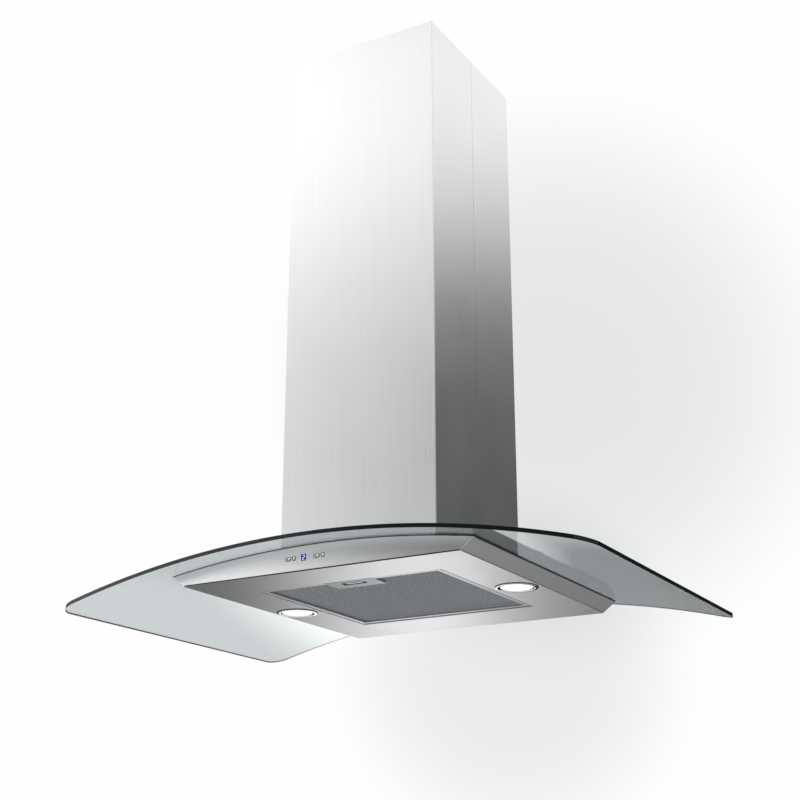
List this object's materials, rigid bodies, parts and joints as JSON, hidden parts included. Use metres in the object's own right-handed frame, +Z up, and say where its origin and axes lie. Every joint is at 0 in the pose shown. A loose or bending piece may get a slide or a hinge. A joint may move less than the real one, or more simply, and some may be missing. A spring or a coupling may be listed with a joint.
{
  "type": "curved glass range hood",
  "caption": "Ceiling-hung island range hood with an arched clear glass canopy, box chimney, mesh grease filter, round lamps and a row of push buttons.",
  "frame": {"origin": "middle of the ceiling plate's top face, on the ceiling", "axes": "+Z up, +X along the long side of the glass, -Y towards the controls"},
  "size_m": [0.9, 0.6, 0.9736],
  "materials": {
    "brushed_steel": "brushed",
    "canopy_glass": "tempered float glass, clear",
    "galvanised_steel": "zinc plated sheet",
    "filter_aluminium": "expanded mesh",
    "chrome": "polished",
    "lamp_glass": "frosted",
    "black_rubber": "matte",
    "black_plastic": "matte",
    "grey_plastic": "matte",
    "display_plastic": "smoked, gloss",
    "button_plastic": "satin",
    "circuit_board": "solder mask",
    "cast_aluminium": "die cast",
    "spring_steel": "bright",
    "zinc_steel": "bright zinc"
  },
  "bodies": {
    "ceiling_frame": {"ceiling_plate": "galvanised_steel", "ceiling_rim": "galvanised_steel", "upper_posts_left": "galvanised_steel", "upper_posts_right": "galvanised_steel", "upper_chimney_front": "brushed_steel", "upper_chimney_rear": "brushed_steel", "foot_screws": "zinc_steel"},
    "filter": {"filter_frame": "filter_aluminium", "filter_mesh": "filter_aluminium", "filter_handle": "brushed_steel"},
    "filter_latch": {"filter_latch": "spring_steel"},
    "light_button": {"button_light": "button_plastic"},
    "minus_button": {"button_minus": "button_plastic"},
    "plus_button": {"button_plus": "button_plastic"},
    "timer_button": {"button_timer": "button_plastic"},
    "fan_rotor": {"fan_impeller": "black_plastic", "fan_shaft": "spring_steel"},
    "front_damper": {"damper_flap_front": "black_plastic"},
    "rear_damper": {"damper_flap_rear": "black_plastic"},
    "hood": {"blower_box": "galvanised_steel", "blower_cover": "galvanised_steel", "cable_gland": "grey_plastic", "canopy_deck": "galvanised_steel", "chimney_seal": "black_rubber", "clamp_pads": "black_rubber", "clamp_screws": "zinc_steel", "control_board": "circuit_board", "control_housing": "black_plastic", "cover_screws": "zinc_steel", "damper_rod": "spring_steel", "display_window": "display_plastic", "fan_motor": "cast_aluminium", "fan_scroll": "black_plastic", "front_fascia": "brushed_steel", "glass_canopy": "canopy_glass", "glass_clamps": "galvanised_steel", "glass_gasket": "black_rubber", "lamp_body_left": "cast_aluminium", "lamp_body_right": "cast_aluminium", "lamp_lens_left": "lamp_glass", "lamp_lens_right": "lamp_glass", "lamp_ring_left": "chrome", "lamp_ring_right": "chrome", "left_side_band": "brushed_steel", "lower_chimney_front": "brushed_steel", "lower_chimney_rear": "brushed_steel", "lower_posts_left": "galvanised_steel", "lower_posts_right": "galvanised_steel", "motor_bracket": "galvanised_steel", "motor_capacitor": "grey_plastic", "outlet_collar": "black_plastic", "post_bolts": "zinc_steel", "rear_fascia": "brushed_steel", "right_side_band": "brushed_steel", "suction_chamber": "galvanised_steel", "terminal_box": "grey_plastic", "terminal_lid": "grey_plastic", "underside_panel": "brushed_steel"}
  },
  "joints": [
    {"name": "height_adjust", "type": "slide", "parent": "ceiling_frame", "child": "hood", "axis": [0, 0, -1], "range_m": [0, 0.2]},
    {"name": "filter_hinge", "type": "hinge", "parent": "hood", "child": "filter", "pos_m": [0, 0.1485, -0.944], "axis": [1, 0, 0], "range_deg": [0, 80]},
    {"name": "latch_slide", "type": "slide", "parent": "filter", "child": "filter_latch", "axis": [0, 1, 0], "range_m": [0, 0.004], "stiffness_N_per_m": 400, "springref_m": -0.002},
    {"name": "light_press", "type": "slide", "parent": "hood", "child": "light_button", "axis": [0, 1, 0], "range_m": [0, 0.0012], "stiffness_N_per_m": 900, "springref_m": -0.0006},
    {"name": "minus_press", "type": "slide", "parent": "hood", "child": "minus_button", "axis": [0, 1, 0], "range_m": [0, 0.0012], "stiffness_N_per_m": 900, "springref_m": -0.0006},
    {"name": "plus_press", "type": "slide", "parent": "hood", "child": "plus_button", "axis": [0, 1, 0], "range_m": [0, 0.0012], "stiffness_N_per_m": 900, "springref_m": -0.0006},
    {"name": "timer_press", "type": "slide", "parent": "hood", "child": "timer_button", "axis": [0, 1, 0], "range_m": [0, 0.0012], "stiffness_N_per_m": 900, "springref_m": -0.0006},
    {"name": "fan_spin", "type": "hinge", "parent": "hood", "child": "fan_rotor", "pos_m": [0, -0.036, -0.785], "axis": [1, 0, 0], "continuous": true},
    {"name": "front_damper_hinge", "type": "hinge", "parent": "hood", "child": "front_damper", "pos_m": [0, 0, -0.628], "axis": [-1, 0, 0], "range_deg": [0, 75]},
    {"name": "rear_damper_hinge", "type": "hinge", "parent": "hood", "child": "rear_damper", "pos_m": [0, 0, -0.628], "axis": [1, 0, 0], "range_deg": [0, 75]}
  ]
}
